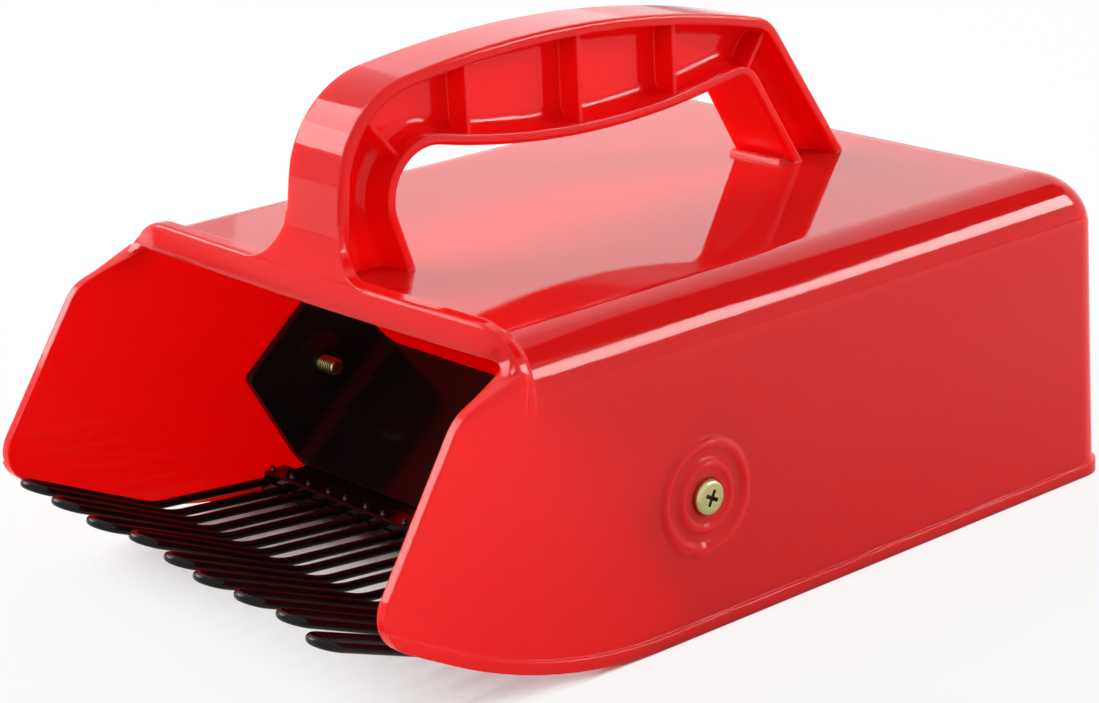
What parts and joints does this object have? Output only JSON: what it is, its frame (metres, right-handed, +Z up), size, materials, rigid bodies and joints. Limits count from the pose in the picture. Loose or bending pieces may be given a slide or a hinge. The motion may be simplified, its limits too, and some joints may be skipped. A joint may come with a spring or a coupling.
{
  "type": "berry picker",
  "caption": "Hand rake for picking berries: a moulded box with an open mouth, a comb of hairpin wire tines, a swinging gate and a ribbed grip on top.",
  "frame": {"origin": "on the floor under the middle of the whole length and width", "axes": "+X across to the right seen from the back, +Y from the comb to the closed back, +Z up"},
  "size_m": [0.1456, 0.2316, 0.1205],
  "materials": {
    "red_plastic": "glossy moulded plastic",
    "black_plastic": "glossy moulded plastic",
    "yellow_zinc": "yellow zinc plating",
    "black_strip": "glossy black coating",
    "black_wire": "glossy black coating"
  },
  "bodies": {
    "picker": {"body_shell": "red_plastic", "bottom_plate": "red_plastic", "comb_lower_strip": "black_strip", "comb_clamp_strip": "black_strip", "tine_1": "black_wire", "tine_2": "black_wire", "tine_3": "black_wire", "tine_4": "black_wire", "tine_5": "black_wire", "tine_6": "black_wire", "tine_7": "black_wire", "tine_8": "black_wire", "tine_9": "black_wire"},
    "gate": {"flap": "black_plastic", "pivot_screw_left": "yellow_zinc", "pivot_screw_right": "yellow_zinc"}
  },
  "joints": [
    {"name": "flap_swing", "type": "hinge", "parent": "picker", "child": "gate", "pos_m": [0, -0.01984, 0.0304], "axis": [1, 0, 0], "range_deg": [0, 140]}
  ]
}
